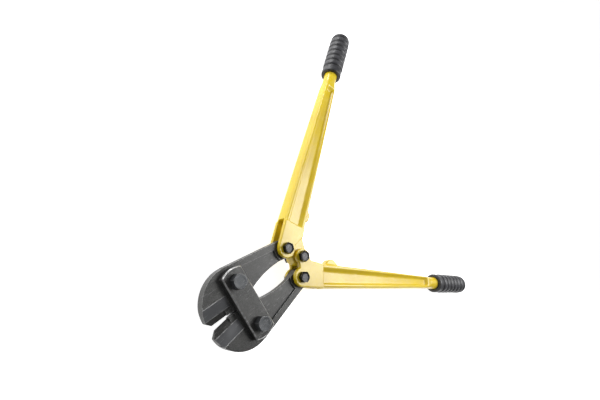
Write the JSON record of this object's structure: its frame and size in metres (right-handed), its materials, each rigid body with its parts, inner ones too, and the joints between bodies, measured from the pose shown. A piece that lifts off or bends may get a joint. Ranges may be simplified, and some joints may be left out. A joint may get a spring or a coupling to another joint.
{
  "type": "bolt cutters",
  "caption": "Long-handled bolt cutters with two short jaws on side plates, forked I-section handles joined at a centre pivot, and ribbed grips.",
  "frame": {"origin": "middle of the rear end of the centre bolt, which joins the two handles", "axes": "+X towards the nose of the jaws, +Y from the upper jaw to the lower jaw, +Z from the rear of the tool to the bolt heads on its front; the tool lies on its rear face, its handles part-way open"},
  "size_m": [0.5025, 0.5822, 0.0505],
  "materials": {
    "forged_steel": "forged, dark grey phosphate",
    "plate_steel": "dark grey, fine grained",
    "bolt_steel": "blackened steel",
    "washer_steel": "blackened spring steel",
    "handle_paint": "glossy yellow paint on forged steel",
    "grip_rubber": "matte black rubber"
  },
  "bodies": {
    "head": {"front_side_plate": "plate_steel", "rear_side_plate": "plate_steel", "upper_pivot_bolt": "bolt_steel", "lower_pivot_bolt": "bolt_steel", "upper_pivot_washer": "washer_steel", "lower_pivot_washer": "washer_steel", "upper_pivot_nut": "bolt_steel", "lower_pivot_nut": "bolt_steel"},
    "upper_jaw": {"upper_jaw": "forged_steel"},
    "lower_jaw": {"lower_jaw": "forged_steel"},
    "upper_handle": {"upper_handle": "handle_paint", "upper_grip": "grip_rubber", "upper_handle_bolt": "bolt_steel", "upper_handle_washer": "washer_steel", "upper_handle_nut": "bolt_steel"},
    "lower_handle": {"lower_handle": "handle_paint", "lower_grip": "grip_rubber", "lower_handle_bolt": "bolt_steel", "lower_handle_washer": "washer_steel", "lower_handle_nut": "bolt_steel", "centre_bolt": "bolt_steel", "centre_washer": "washer_steel", "centre_nut": "bolt_steel"}
  },
  "joints": [
    {"name": "upper_jaw_pivot", "type": "hinge", "parent": "head", "child": "upper_jaw", "pos_m": [0.10468, -0.03, 0.023], "axis": [0, 0, 1], "range_deg": [-0.6, 3.5]},
    {"name": "lower_jaw_pivot", "type": "hinge", "parent": "head", "child": "lower_jaw", "pos_m": [0.10468, 0.03, 0.023], "axis": [0, 0, 1], "range_deg": [-3.5, 0.6]},
    {"name": "upper_handle_hinge", "type": "hinge", "parent": "upper_jaw", "child": "upper_handle", "pos_m": [0.01673, -0.02322, 0.023], "axis": [0, 0, 1], "range_deg": [-37, 6]},
    {"name": "lower_handle_hinge", "type": "hinge", "parent": "lower_jaw", "child": "lower_handle", "pos_m": [0.01673, 0.02322, 0.023], "axis": [0, 0, 1], "range_deg": [-6, 37]}
  ],
  "couplings": [
    {"joint": "lower_handle_hinge", "follows": "upper_handle_hinge", "ratio": -1},
    {"joint": "upper_jaw_pivot", "follows": "upper_handle_hinge", "ratio": -0.09424},
    {"joint": "lower_jaw_pivot", "follows": "upper_handle_hinge", "ratio": 0.09424}
  ]
}
